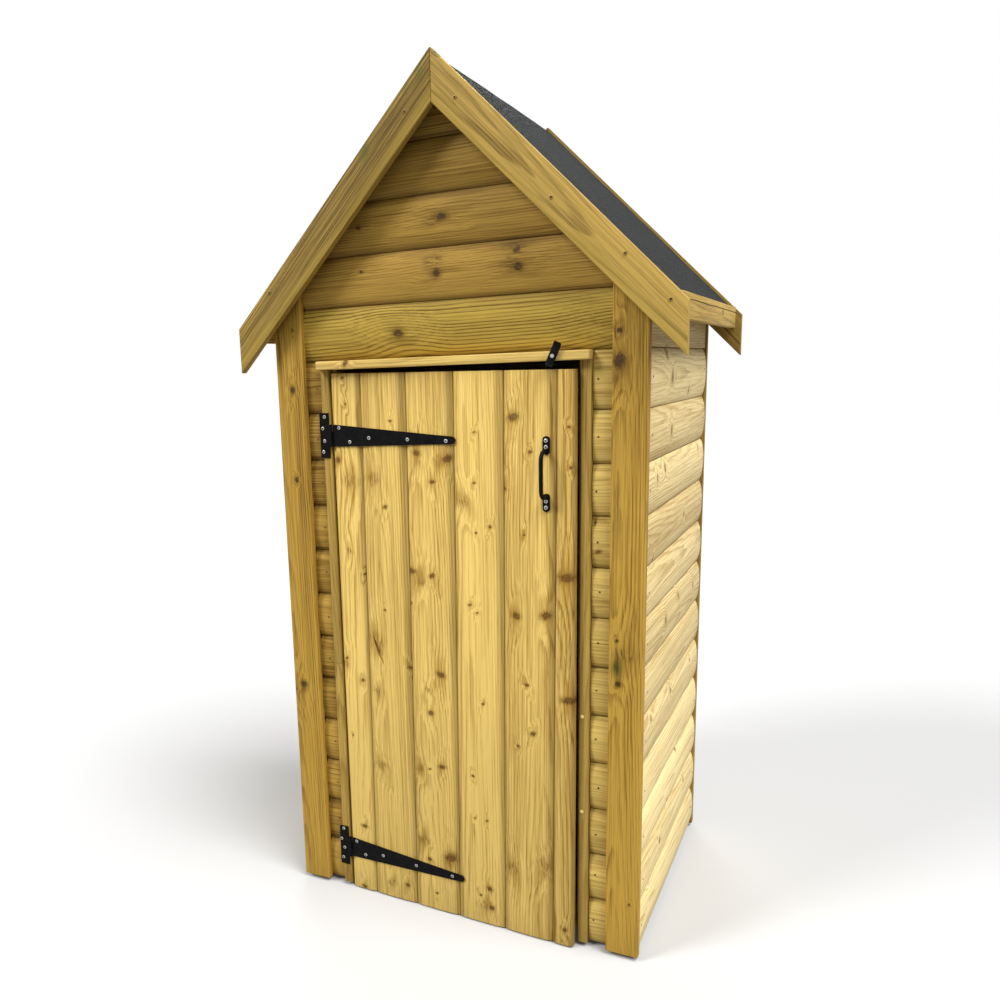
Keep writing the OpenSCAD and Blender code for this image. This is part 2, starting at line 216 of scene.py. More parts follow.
def smoothOver(piece, angle=35):
    focus(piece)
    bpy.ops.object.shade_smooth_by_angle(angle=math.radians(angle))
    return piece


def copyOf(piece, name):
    copy = bpy.data.objects.new(name, piece.data.copy())
    bpy.context.scene.collection.objects.link(copy)
    return copy


def joined(name, pieces):
    focus(pieces[0])
    for piece in pieces[1:]:
        piece.select_set(True)
    if len(pieces) > 1:
        bpy.ops.object.join()
    piece = bpy.context.object
    piece.name = piece.data.name = name
    return piece


def discard(piece):
    bpy.data.objects.remove(piece)


# board space for the grain: along, across and depth from a pith line behind the face
grainSpace = {"start": (0, 60), "pithAcross": (-0.035, 0.035), "pithDepth": (0.025, 0.075)}


def markGrain(piece, along, out, lapFrom=None, lapUp=None, lapHeight=1.0,
              pith=None, boardTone=None, toneRise=0.0):
    along, out = Vector(along).normalized(), Vector(out).normalized()
    across = out.cross(along)
    mesh = piece.data
    points = [v.co for v in mesh.vertices]
    middle = sum((p.dot(across) for p in points), 0.0) / len(points)
    face = max(p.dot(out) for p in points)
    midHeight = (min(p.z for p in points) + max(p.z for p in points)) / 2
    luck = random.Random(piece.name)
    start = luck.uniform(*grainSpace["start"])
    if pith is None:
        pith = luck.uniform(*grainSpace["pithAcross"]), luck.uniform(*grainSpace["pithDepth"])
    boardTone = luck.random() if boardTone is None else boardTone
    for label, kind in (("grain", "FLOAT_VECTOR"), ("tone", "FLOAT"), ("lap", "FLOAT")):
        mesh.attributes.new(label, kind, "POINT")
    grain, tone, lap = (mesh.attributes[label].data for label in ("grain", "tone", "lap"))
    for i, p in enumerate(v.co for v in mesh.vertices):
        aside, deep = p.dot(across) - middle - pith[0], p.dot(out) - face + pith[1]
        grain[i].vector = (p.dot(along) + start, aside, deep)
        tone[i].value = boardTone + toneRise * (p.z - midHeight)
        lap[i].value = 0.5 if lapFrom is None else (p - Vector(lapFrom)).dot(lapUp) / lapHeight
    return piece


# shading helpers: they add to the tree that was opened last
shading = {"tree": None}


def tint(red, green, blue):  # screen colour to the linear one that sockets take
    def lin(c):
        c /= 255
        return c / 12.92 if c <= 0.04045 else ((c + 0.055) / 1.055) ** 2.4
    return (lin(red), lin(green), lin(blue), 1)


def newMaterial(name):
    material = bpy.data.materials.new(name)
    material.use_nodes = True
    shading["tree"] = material.node_tree
    return material, material.node_tree.nodes["Principled BSDF"]


def newGroup(name, inputs, outputs):
    group = bpy.data.node_groups.new(name, "ShaderNodeTree")
    shading["tree"] = group
    for way, sockets in (("INPUT", inputs), ("OUTPUT", outputs)):
        for label, kind in sockets.items():
            group.interface.new_socket(name=label, in_out=way, socket_type="NodeSocket" + kind)
    return group, put("NodeGroupInput").outputs, put("NodeGroupOutput")


def feed(made, inputs):  # link a socket, or set a value
    for key, value in inputs.items():
        if isinstance(value, bpy.types.NodeSocket):
            shading["tree"].links.new(value, made.inputs[key])
        else:
            made.inputs[key].default_value = value


def put(kind, inputs=None, **settings):
    made = shading["tree"].nodes.new(kind)
    for key, value in settings.items():
        setattr(made, key, value)
    feed(made, inputs or {})
    return made


def calc(operation, a, b=0.0, c=0.0, clamp=False):
    return put("ShaderNodeMath", {0: a, 1: b, 2: c}, operation=operation, use_clamp=clamp).outputs[0]


def times(a, b):
    return calc("MULTIPLY", a, b)


def scaledSum(a, factor, added):  # a times factor, plus added
    return calc("MULTIPLY_ADD", a, factor, added)


def combined(x, y, z):
    return put("ShaderNodeCombineXYZ", {0: x, 1: y, 2: z}).outputs[0]


def vector(operation, a, b=(0, 0, 0)):
    made = put("ShaderNodeVectorMath", {0: a, 1: b}, operation=operation)
    return made.outputs["Value" if operation == "LENGTH" else "Vector"]


def mixed(share, a, b, blend="MIX"):
    return put("ShaderNodeMix", {0: share, 6: a, 7: b}, data_type="RGBA", blend_type=blend,
               clamp_factor=True).outputs[2]


def shaded(a, b):
    return mixed(1.0, a, b, "MULTIPLY")


def ease(value, low, high):  # 0 at low, 1 at high, smooth between
    return put("ShaderNodeMapRange", {"Value": value, "From Min": low, "From Max": high},
               interpolation_type="SMOOTHSTEP").outputs["Result"]


def fade(value, low, high):  # 1 at low, 0 at high
    return calc("SUBTRACT", 1.0, ease(value, low, high))


def noise(place, scale, detail=2.0, rough=0.5):
    return put("ShaderNodeTexNoise", {"Vector": place, "Scale": scale, "Detail": detail,
                                      "Roughness": rough}).outputs["Fac"]


def ownPlace():
    return put("ShaderNodeTexCoord").outputs["Object"]


def attribute(name, output="Fac"):
    return put("ShaderNodeAttribute", attribute_name=name).outputs[output]


def bumped(height, strength, distance):
    return put("ShaderNodeBump", {"Strength": strength, "Distance": distance, "Height": height}).outputs[0]


# pine: rings cut by the face, fibres, knots that the rings run round, grime and painted shade in the laps
pine = {
    # noise layers: stretch along, across and into the board, then octaves and roughness
    "layers": {"drift": ((1.1, 8, 8), 2.0, 0.5), "wobble": ((12, 90, 90), 2.0, 0.5),
               "vigour": ((0.9, 22, 22), 1.0, 0.5), "fibre": ((16, 760, 760), 3.0, 0.6),
               "thread": ((3.0, 330, 330), 3.0, 0.65), "streak": ((1.1, 46, 46), 2.0, 0.5),
               "cloud": ((3.0, 14, 14), 3.0, 0.5), "feather": ((46, 300, 300), 2.0, 0.5),
               "crumb": ((130, 330, 330), 1.0, 0.5), "blotch": ((14, 90, 90), 3.0, 0.5),
               "sapEdge": ((3, 30, 30), 2.0, 0.5)},
    "colours": ("Pale", "Dark", "Knot"),
    "measures": ("Ring", "Lines", "Swirl", "Threads", "Knotty", "Grime"),
    "unmarked": {"Lap": 0.5, "Spot": 9.0, "Burr": 9.0, "Flow": 9.0},  # far from laps and listed knots
    "cells": (3.4, 13.0),  # scattered knots to a metre, along and across, most of them left out
    "scatter": 0.8, "knotLength": 0.62, "knotRange": 0.0045, "knotLeast": 0.0018, "noKnot": 0.0002,
    "taper": 0.018, "drift": 0.028, "wobble": 0.0030,  # how the rings stray from round
    "lateFrom": (0.4, 0.88), "lateTo": (0.9, 1.0),  # shares of a year
    "vigour": (0.28, 0.7), "vigourLines": (0.7, 0.3),
    "weights": {"fibre": 1.0, "thread": 2.2, "streak": 0.9},
    "toneShade": 0.45, "toneLevel": -0.12, "level": 0.93, "cloudLevel": 0.26,
    # how far round a knot each mark reaches, in the knot's radii
    "swirl": (0.1, 3.6), "stroke": (0.2, 2.2), "tail": (0.2, 1.8), "halo": (0.6, 2.5), "eye": (0.75, 1.25),
    "strokeBreaks": (0.42, 0.62), "tailBreaks": (0.3, 0.62), "crumble": 1.3,
    "strokeShare": 0.9, "strokeKnot": 0.65, "tailShare": 0.6, "haloShare": 0.5,
    "eyeRings": 13.0, "eyeRipple": (0.16, 0.74), "eyeRough": -0.12, "eyeHeight": 0.3,
    "rough": (0.22, 0.55), "shine": 0.2, "lateHeight": 0.5, "fibreHeight": 0.5, "bumpDepth": 0.0008,
    # the seam band darkens the edges of each board: grime and painted shade
    "seam": (0.36, 0.51), "grime": (0.30, 0.26, 0.20, 1), "damp": (0.42, 0.38, 0.30, 1),
    "dampShare": 0.15, "dampHeight": (0.04, 0.13), "splash": 0.09,
    # listed knots and stains
    "spotLean": (-0.5, 0.5), "spotSize": (0.8, 1.2), "nearFlow": 0.6, "stainEdge": (0.5, 1.5),
    "burrShape": (1.5, 0, 1), "stainShape": (1, 0, 2.2),
    "sapWander": 0.5, "sapEdge": (0.42, 0.62), "sapShare": 0.75, "sapMix": 0.5,
    # solids of the frame: their own coordinates turned along the timber
    "sawnOrder": {"x": (0, 1, 2), "y": (1, 2, 0), "z": (2, 0, 1)}, "sawnStart": (3.1, 0.017, 0.043),
    "sawnTone": 2.0,
}


def layer(name, place):
    stretch, octaves, rough = pine["layers"][name]
    return noise(vector("MULTIPLY", place, stretch), 1.0, octaves, rough)


def scatteredKnots(along, across, knotty):  # distance to the nearest one, in its radii
    perAlong, perAcross = pine["cells"]
    flat = combined(times(along, perAlong), times(across, perAcross), 0)
    cell = put("ShaderNodeTexVoronoi", {"Vector": flat, "Scale": 1.0, "Randomness": pine["scatter"]},
               voronoi_dimensions="2D").outputs
    core = vector("SUBTRACT", flat, cell["Position"])
    core = vector("MULTIPLY", core, (pine["knotLength"] / perAlong, 1 / perAcross, 0))
    luck = put("ShaderNodeSeparateColor", {0: cell["Color"]}).outputs
    size = scaledSum(luck[1], pine["knotRange"], pine["knotLeast"])
    kept = calc("LESS_THAN", luck[0], knotty)
    return calc("DIVIDE", vector("LENGTH", core), scaledSum(kept, size, pine["noKnot"]))


def lateWood(place, split, shove, ring):  # dark lines of the rings round the pith
    along, across, depth = split
    heart = calc("SQRT", calc("ADD", times(across, across), times(depth, depth)))
    radius = scaledSum(along, pine["taper"], heart)
    for name in ("drift", "wobble"):
        radius = scaledSum(layer(name, place), pine[name], radius)
    radius = calc("ADD", shove, radius)
    year = calc("FRACT", calc("DIVIDE", radius, ring))
    late = times(ease(year, *pine["lateFrom"]), fade(year, *pine["lateTo"]))
    vigour = ease(layer("vigour", place), *pine["vigour"])
    return times(late, scaledSum(vigour, *pine["vigourLines"]))


def knotMarks(wood, given, knot, place, bent, streak):
    # burrs are broken dark strokes, knots a dark heart in a warm halo
    dark, heart = given["Dark"], given["Knot"]
    burr = calc("MINIMUM", knot, given["Burr"])
    stroke = times(fade(burr, *pine["stroke"]), ease(layer("feather", bent), *pine["strokeBreaks"]))
    wood = mixed(times(stroke, pine["strokeShare"]), wood, mixed(pine["strokeKnot"], dark, heart))
    tail = times(fade(given["Flow"], *pine["tail"]), ease(streak, *pine["tailBreaks"]))
    wood = mixed(times(tail, pine["tailShare"]), wood, dark)
    inward = calc("SUBTRACT", knot, pine["crumble"] / 2)
    ragged = scaledSum(layer("crumb", place), pine["crumble"], inward)
    wood = mixed(times(fade(ragged, *pine["halo"]), pine["haloShare"]), wood, dark)
    eye = fade(ragged, *pine["eye"])
    ripple = scaledSum(calc("SINE", times(ragged, pine["eyeRings"])), *pine["eyeRipple"])
    return mixed(times(eye, ripple), wood, heart), eye


def buildPineGrain():
    measures = ("Tone", *pine["unmarked"], *pine["measures"])
    kinds = {"Place": "Vector", **dict.fromkeys(pine["colours"], "Color")}
    kinds.update(dict.fromkeys(measures, "Float"))
    group, given, out = newGroup("pineGrain", kinds,
                                 {"Color": "Color", "Roughness": "Float", "Height": "Float"})
    place = given["Place"]
    split = tuple(put("ShaderNodeSeparateXYZ", {0: place}).outputs)
    scattered = scatteredKnots(split[0], split[1], given["Knotty"])
    knot = calc("MINIMUM", scattered, given["Spot"])
    swirl = fade(calc("MINIMUM", scattered, given["Flow"]), *pine["swirl"])
    shove = times(swirl, given["Swirl"])
    bent = vector("ADD", place, combined(0, shove, shove))
    late = lateWood(place, split, shove, given["Ring"])
    fibre, streak = layer("fibre", bent), layer("streak", bent)
    thread = scaledSum(calc("SUBTRACT", layer("thread", bent), 0.5), given["Threads"], 0.5)
    shade = times(late, given["Lines"])
    for name, value in (("fibre", fibre), ("thread", thread), ("streak", streak)):
        weight = pine["weights"][name]
        shade = calc("ADD", shade, scaledSum(value, weight, -weight / 2))
    shade = calc("ADD", shade, times(given["Tone"], pine["toneShade"]), clamp=True)
    wood = mixed(shade, given["Pale"], given["Dark"])
    # each board a little its own brightness
    level = scaledSum(given["Tone"], pine["toneLevel"], pine["level"])
    level = scaledSum(layer("cloud", place), pine["cloudLevel"], level)
    grey = put("ShaderNodeCombineColor", {0: level, 1: level, 2: level}).outputs[0]
    wood, eye = knotMarks(shaded(wood, grey), given, knot, place, bent, streak)
    # grime and painted shade where boards meet
    edge = calc("ABSOLUTE", calc("SUBTRACT", given["Lap"], 0.5))
    seam = times(ease(edge, *pine["seam"]), given["Grime"])
    wood = mixed(seam, wood, shaded(wood, pine["grime"]))
    rough = scaledSum(fibre, *pine["rough"])
    height = scaledSum(late, pine["lateHeight"], times(fibre, pine["fibreHeight"]))
    feed(out, {"Color": wood, "Roughness": scaledSum(eye, pine["eyeRough"], rough),
               "Height": scaledSum(eye, pine["eyeHeight"], height)})
    return group


pineGrain = buildPineGrain()


def spotField(spots, shape):  # distance to the nearest listed knot, in its radii
    place = ownPlace()
    nearest = None
    for centre, radius in spots:
        lean = random.uniform(*pine["spotLean"])
        turn = tuple(0 if s else lean for s in shape)  # about the way the board faces
        size = tuple(radius * s * random.uniform(*pine["spotSize"]) if s else 1 for s in shape)
        local = put("ShaderNodeMapping", {"Vector": place, "Location": centre, "Rotation": turn,
                                          "Scale": size}, vector_type="TEXTURE").outputs[0]
        gap = vector("LENGTH", local)
        nearest = gap if nearest is None else calc("MINIMUM", nearest, gap)
    return nearest


def pineMaterial(name, look, spots=(), shape=(1, 0, 1.3), flow=(1.2, 0, 3.4), stains=(), burrs=(),
                 sawnAxis=None):
    material, bsdf = newMaterial(name)
    grain = put("ShaderNodeGroup", node_tree=pineGrain)
    feed(grain, pine["unmarked"])
    feed(grain, {key: tint(*look[key.lower()]) for key in pine["colours"]})
    feed(grain, {key: look[key.lower()] for key in pine["measures"]})
    coords = put("ShaderNodeSeparateXYZ", {0: ownPlace()}).outputs
    if sawnAxis:
        turned = combined(*(coords[k] for k in pine["sawnOrder"][sawnAxis]))
        place = vector("ADD", turned, pine["sawnStart"])
        tone = noise(place, pine["sawnTone"], 0.0)
    else:
        place, tone, lap = attribute("grain", "Vector"), attribute("tone"), attribute("lap")
        feed(grain, {"Lap": lap})
    feed(grain, {"Place": place, "Tone": tone})
    if spots:
        near = spotField(spots, shape)
        # with no flow of its own, the grain bends round the knots' own field
        far = spotField([*spots, *burrs], flow) if flow else times(near, pine["nearFlow"])
        feed(grain, {"Spot": near, "Flow": far})
    if burrs:
        feed(grain, {"Burr": spotField(burrs, pine["burrShape"])})
    colour = grain.outputs["Color"]
    blotch = layer("blotch", place)
    for centre, size, stain, share in stains:
        far = spotField(((centre, size),), pine["stainShape"])
        mask = fade(calc("ADD", far, blotch), *pine["stainEdge"])
        colour = mixed(times(mask, share), colour, tint(*stain))
    if "sap" in look:  # sapwood along one edge
        band = scaledSum(layer("sapEdge", place), pine["sapWander"], lap)
        share = scaledSum(ease(band, *pine["sapEdge"]), -pine["sapShare"], pine["sapShare"])
        colour = mixed(share, colour, mixed(pine["sapMix"], colour, tint(*look["sap"])))
    # damp and splashes at the foot
    height = scaledSum(blotch, pine["splash"], coords[2])
    damp = scaledSum(ease(height, *pine["dampHeight"]), -pine["dampShare"], pine["dampShare"])
    colour = mixed(damp, colour, shaded(colour, pine["damp"]))
    relief = bumped(grain.outputs["Height"], look["bump"], pine["bumpDepth"])
    feed(bsdf, {"Base Color": colour, "Roughness": grain.outputs["Roughness"],
                "Specular IOR Level": pine["shine"], "Normal": relief})
    return material


def dress(piece, material):
    piece.data.materials.clear()
    piece.data.materials.append(material)
    return piece


def settle(piece, material, body, slot, *nodes):
    if material:
        dress(piece, material)
    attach(piece, body)
    if nodes:
        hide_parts(*nodes)
    return piece


# knots read off the photo: pixel across, pixel down, radius in mm
faces = {"cladding": -0.351, "corner": -0.365, "strip": -0.377, "barge": -0.403, "side": 0.455}
gableKnots = ((441, 216, 8), (436, 273, 8), (516, 249, 7), (518, 266, 8), (361, 272, 2.8), (358, 228, 4))
gableBurrs = ((514, 246, 12), (512, 264, 12), (432, 262, 11), (436, 219, 11))
headerKnots = ((398, 333, 11), (640, 337, 14))
shortKnots = ((598, 552, 5),)
trimKnots = ((619, 361, 12), (620, 330, 5), (617, 641, 2.8), (618, 684, 5), (292.7, 390, 6.5),
             (304, 684, 7), (292, 330, 2.4), (296, 800, 2.6), (330, 640, 2.4), (629, 905, 2))
trimBurrs = ((624, 655, 13), (300, 690, 10), (615, 372, 10))
stripKnots = ((345, 363, 6),)
sideKnots = ((669, 352, 7.2), (673, 377, 9), (690, 390, 6.1), (672, 430, 7.2), (699, 447, 5.4),
             (666, 468, 6.1), (658, 478, 5.4), (693, 585, 4.7), (679, 595, 5.4), (666, 620, 6.1),
             (678, 748, 5.4), (660, 840, 5.4), (684, 514, 5.4), (655, 560, 4.7), (690, 660, 4.3),
             (671, 690, 5), (652, 720, 4.3), (668, 800, 4.7), (684, 780, 4), (652, 880, 5.4))
# stains and splits: pixel across, pixel down, radius in mm, colour, share
shortStains = ((595, 523, 5, (44, 30, 10), 1.0),)
trimStains = ((616, 668, 20, (62, 60, 14), 0.95), (617, 380, 14, (96, 58, 18), 0.6))
bargeStains = ((364, 148, 20, (84, 96, 30), 0.6), (416, 68, 20, (84, 96, 30), 0.45),
               (405, 85, 16, (84, 96, 30), 0.4))


def onFront(face, marks):
    return [(seenOn(mark[:2], (0, faces[face], 0), front), mark[2] / 1000, *mark[3:]) for mark in marks]


def onSide(marks):
    return [(seenOn(mark[:2], (faces["side"], 0, 0), rightward), mark[2] / 1000) for mark in marks]


def pineLook(pale, dark, knot, **changes):
    look = {"ring": 0.0056, "lines": 0.5, "swirl": 0.006, "threads": 1.0, "knotty": 0.05, "grime": 0.3,
            "bump": 0.4}
    return {**look, "pale": pale, "dark": dark, "knot": knot, **changes}


gableShape, gableFlow = (1.2, 0, 0.9), (4, 0, 1.3)
# the cladding pine of the side, back and left walls: paler, partly bleached and partly painted light
sidePine = pineMaterial(
    "sidePine", pineLook((246, 224, 164), (184, 150, 88), (112, 78, 40), ring=0.0050,
                         threads=0.8, knotty=0.03, grime=0.2, bump=0.5),
    onSide(sideKnots), (0, 1.1, 1.3), None)
# the same cladding pine on the front: more golden, and darker partly as painted shade
frontPine = pineMaterial(
    "frontPine", pineLook((186, 149, 67), (114, 82, 24), (50, 30, 8), ring=0.0052, swirl=0.004,
                          threads=0.9, grime=0.6),
    onFront("cladding", gableKnots), gableShape, gableFlow, burrs=onFront("cladding", gableBurrs))
# the header board has wide rings that sweep round its knots
headerPine = pineMaterial(
    "headerPine", pineLook((192, 161, 69), (108, 83, 22), (56, 36, 10), ring=0.0068, lines=0.85,
                           swirl=0.018, threads=0.5, knotty=0.0, grime=0.6),
    onFront("cladding", headerKnots), (1.1, 0, 0.9), (5, 0, 2.0))
# the front pine for the pieces beside the door: brighter, as painted light where the door shades them
shortPine = pineMaterial(
    "shortPine", pineLook((222, 192, 106), (152, 120, 50), (84, 56, 22), lines=0.4, threads=0.8,
                          knotty=0.1, grime=0.5),
    onFront("cladding", shortKnots), gableShape, gableFlow, onFront("cladding", shortStains))
trimPine = pineMaterial(
    "trimPine", pineLook((198, 158, 66), (120, 86, 24), (36, 20, 6), ring=0.0042, lines=0.55,
                         swirl=0.007, knotty=0.03, grime=0.4),
    onFront("corner", trimKnots), stains=onFront("corner", trimStains), burrs=onFront("corner", trimBurrs))
stripPine = pineMaterial("stripPine", pineLook((236, 204, 118), (180, 144, 70), (80, 50, 18), ring=0.0046),
                         onFront("strip", stripKnots))
jambPine = pineMaterial("jambPine", pineLook((186, 154, 76), (128, 98, 40), (56, 34, 12), ring=0.0046))
bargePine = pineMaterial(
    "bargePine", pineLook((196, 162, 82), (100, 78, 30), (70, 44, 20), ring=0.0060, lines=0.55,
                          swirl=0.008, grime=0.0, sap=(196, 166, 74)), stains=onFront("barge", bargeStains))
# darker pine for the back trim: dirt and painted shade
rearPine = pineMaterial("rearPine", pineLook((166, 136, 64), (106, 84, 34), (56, 40, 16), lines=0.55,
                                             swirl=0.008))
sawnLook = pineLook((216, 184, 116), (180, 138, 72), (104, 66, 30), swirl=0.008, knotty=0.12, grime=0.0,
                    bump=0.5)
sawnBoard = pineMaterial("sawnBoard", sawnLook)
sawnPine = {axis: pineMaterial("sawnPine" + axis.upper(), sawnLook, sawnAxis=axis) for axis in "xyz"}
print("timber finishes made")

# log-lap board, modelled once one metre long: crest out towards -Y, lap line at the foot
logLap = {
    # share of the board's height, share of its thickness
    "profile": ((0.006, 0.48), (0.03, 0.58), (0.085, 0.71), (0.17, 0.84), (0.29, 0.94), (0.42, 0.99),
                (0.56, 1.0), (0.71, 0.96), (0.84, 0.86), (0.925, 0.72), (0.975, 0.58), (0.992, 0.5)),
    "tongueDepth": 0.26, "tongueHeight": 0.075,
    "sortFrom": (3, 2, 5),  # no two points or faces lie equally far from here
    "edge": 0.0010,  # worn edges
    "sway": 0.0006,  # how far a board sits off its line
}


def modelLogLap():
    rows = logLap["profile"]
    model = startBlock("logLapModel", (-0.5, -1, 0), (0.5, 0, 1))
    pick(model, "EDGE", lambda a, b: abs(a.z - b.z) > 0.9)
    bpy.ops.mesh.subdivide(number_cuts=len(rows) - 2)
    for i, row in enumerate(rows):
        level = i / (len(rows) - 1)
        pick(model, "VERT", lambda p: abs(p.z - level) < 1e-4 and p.y < -0.999)
        bpy.ops.transform.translate(value=(0, 1 - row[1], 0))
    done()
    rise = sorted({round(v.co.z, 5) for v in model.data.vertices})
    for v in model.data.vertices:  # rows to their own heights
        v.co.z = rows[rise.index(round(v.co.z, 5))][0]
    # tongue behind the next board's foot
    editAll(model)
    bpy.ops.mesh.bisect(plane_co=(0, -logLap["tongueDepth"], 0), plane_no=(0, 1, 0))
    done()
    pick(model, "FACE", lambda c, n: n.z > 0.9 and c.y > -logLap["tongueDepth"])
    bpy.ops.mesh.extrude_region_move(TRANSFORM_OT_translate={"value": (0, 0, logLap["tongueHeight"])})
    # points, edges and faces in the same order each run
    cursor = bpy.context.scene.cursor
    cursor.location = logLap["sortFrom"]
    bpy.ops.mesh.select_all(action="SELECT")
    bpy.ops.mesh.sort_elements(type="CURSOR_DISTANCE", elements={"VERT", "EDGE", "FACE"})
    cursor.location = (0, 0, 0)
    done()
    for edge in model.data.edges:
        edge.vertices = sorted(edge.vertices)
    return model


logLapModel = modelLogLap()


def logLapBoard(name, corner, out, length, height, thick, worn=True):
    # corner is the foot of the board's back at the start of its length
    along = (-out).cross(zAxis)
    board = copyOf(logLapModel, name)
    sway = out * random.uniform(-1, 0) * logLap["sway"]
    middle = corner + along * length / 2 + sway
    place = Matrix((along * length, -out * thick, zAxis * height)).transposed().to_4x4()
    board.data.transform(Matrix.Translation(middle) @ place)
    if worn:
        softenEdges(board, logLap["edge"], 2, 50)
    return board


def finishLap(board, out, foot, height, pith=None, boardTone=None):
    markGrain(board, (-out).cross(zAxis), out, foot, zAxis, height, pith, boardTone)
    return smoothOver(board, 40)


# walls
walls = {"course": 0.1145, "lastCourse": 1.5, "foot": 0.010, "head": 1.395, "header": 0.124,
         "leastGable": 0.01,
         # the gable boards' tones rise towards the peak: painted shade under the roof
         "gableToneAndShade": (0.35, 0.35, 0.45, 0.75, 1.1, 2.4), "gablePith": (0.075, 0.05),
         "plankBack": 0.436, "plankFace": 0.450, "plankGap": 0.001, "plankSpare": 0.02, "plankEdge": 0.001,
         "shortGap": 0.0015}


def courseJoints(low, high):
    joints = [low]
    while joints[-1] + walls["lastCourse"] * walls["course"] < high:
        joints.append(joints[-1] + walls["course"])
    return joints + [high]


def wallLines(node, out):  # the way along, the ends, the thickness and the plane of the back
    low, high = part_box(node)
    along = (-out).cross(zAxis)
    start, end = sorted((low.dot(along), high.dot(along)))
    return along, start, end, abs((high - low).dot(out)), min(low.dot(out), high.dot(out))


def stackWall(name, node, out, material, endGap=0.0):  # courses from the floor line up
    along, start, end, thick, backPlane = wallLines(node, out)
    boards = []
    joints = courseJoints(walls["foot"], walls["head"])
    for i, (foot, head) in enumerate(zip(joints, joints[1:])):
        corner = along * (start + endGap) + out * backPlane + zAxis * foot
        board = logLapBoard(f"{name}{i}", corner, out, end - start - endGap, head - foot, thick)
        if i == len(joints) - 2:  # the last tongue is sawn off
            cutAway(board, (0, 0, head), zAxis)
        boards.append(finishLap(board, out, corner, head - foot))
    return settle(joined(name, boards), material, "shed", "cladding_pine", node)


def topPlank(name, node, side):  # plain plank between the last course and the eaves
    x0, x1 = sorted((side * walls["plankBack"], side * walls["plankFace"]))
    low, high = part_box(node)
    plank = startBlock(name, (x0, low.y, walls["head"] + walls["plankGap"]),
                       (x1, high.y, high.z + walls["plankSpare"]))
    cutToRoof(plank, (side,))
    softenEdges(plank, walls["plankEdge"])
    smoothOver(markGrain(plank, yAxis, rightward * side))
    return settle(plank, sidePine, "shed", "cladding_pine", node)


for sideName, side in (("right", 1), ("left", -1)):
    stackWall(f"{sideName}_wall_courses", f"{sideName}_wall", rightward * side, sidePine)
    topPlank(f"{sideName}_eaves_plank", f"{sideName}_wall", side)
stackWall("back_wall_courses", "back_wall", back, sidePine)
stackWall("front_left_courses", "front_left_wall", front, frontPine)
stackWall("front_right_courses", "front_right_wall", front, shortPine, walls["shortGap"])


def gable(name, node, out, header, upper):
    along, start, end, thick, backPlane = wallLines(node, out)
    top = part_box(node)[1].z
    boards = []
    foot, head = walls["head"], walls["head"] + walls["header"]
    while foot < top - walls["leastGable"]:
        i = len(boards)
        corner = along * start + out * backPlane + zAxis * foot
        board = logLapBoard(f"{name}{i}", corner, out, end - start, head - foot, thick, False)
        cutToRoof(board)
        finishLap(board, out, corner, head - foot, walls["gablePith"], walls["gableToneAndShade"][i])
        boards.append(dress(board, upper if i else header))
        foot, head = head, head + walls["course"]
    return settle(joined(name, boards), None, "shed", "cladding_pine", node)


gable("front_gable_courses", "front_gable", front, headerPine, frontPine)
gable("back_gable_courses", "back_gable", back, sidePine, sidePine)
print("walls clad")

# trim
trim = {"edge": 0.0022, "jambEdge": 0.0014, "cornerTone": 0.4, "cornerRise": 0.5, "jambTone": 0.5}


def plainBoard(name, node, along, out, edge, material, roofSide=None, boardTone=None, toneRise=0.0):
    board = startBlock(name, *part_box(node))
    if roofSide:
        cutToRoof(board, (roofSide,))
    softenEdges(board, edge, 3)
    smoothOver(markGrain(board, along, out, boardTone=boardTone, toneRise=toneRise))
    return settle(board, material, "shed", "trim_pine", node)


ends = (("front", front), ("back", back))
sides = (("left", -1), ("right", 1))
for end, out in ends:
    for sideName, side in sides:
        plainBoard(f"{end}_{sideName}_corner_plank", f"{end}_{sideName}_corner_board", zAxis, out,
                   trim["edge"], trimPine if end == "front" else rearPine, side,
                   trim["cornerTone"], trim["cornerRise"])
for node in ("left_jamb_upper", "left_jamb_lower", "right_jamb"):
    plainBoard(node + "_strip", node, zAxis, front, trim["jambEdge"], jambPine, boardTone=trim["jambTone"])
plainBoard("door_head_batten", "door_head_strip", xAxis, front, trim["jambEdge"], stripPine)
print("trim fitted")

# roof: bargeboards, fascias and felt
roof = {"edge": 0.0018, "bargeWidth": 0.075, "peakGap": 0.0002, "tones": {-1: 1.3, 1: 0.4}, "toneRise": 0.6,
        "feltTop": 0.006, "feltThick": 0.0025, "feltWave": 0.0009, "feltGrid": (40, 30),
        "waveAcross": (31, 3, 7), "waveAlong": (13, 2, 9)}
feltLook = {"grit": 420.0, "cloud": (7.0, 4.0, 0.6), "dark": (10, 11, 11), "worn": (19, 21, 21),
            "speck": (60, 64, 61), "speckShare": (0.72, 0.98), "pit": (6, 7, 8), "pitShare": (0.0, 0.3),
            "rough": (0.2, 0.75), "shine": 0.12, "relief": (0.8, 0.0012)}


def bargeboard(name, node, side, out):
    low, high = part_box(node)
    reach = max(abs(low.x), abs(high.x))
    pitch, ridge = roofLine["pitch"], roofLine["ridge"]
    foot = ridge - roof["bargeWidth"] / math.cos(pitch)
    x0, x1 = sorted((roof["peakGap"] * side, reach * side))
    board = startBlock(name, (x0, low.y, foot), (x1, high.y, ridge))
    lean = Matrix.Identity(4)
    lean[2][0] = -side * math.tan(pitch)  # both ends stay plumb
    board.data.transform(lean)
    softenEdges(board, roof["edge"], 3)
    downhill = (side * math.cos(pitch), 0, -math.sin(pitch))
    markGrain(board, downhill, out, (0, 0, foot), roofNormal(side), roof["bargeWidth"],
              boardTone=roof["tones"][side], toneRise=roof["toneRise"])
    smoothOver(board)
    return settle(board, bargePine if out == front else rearPine, "shed", "trim_pine", node)


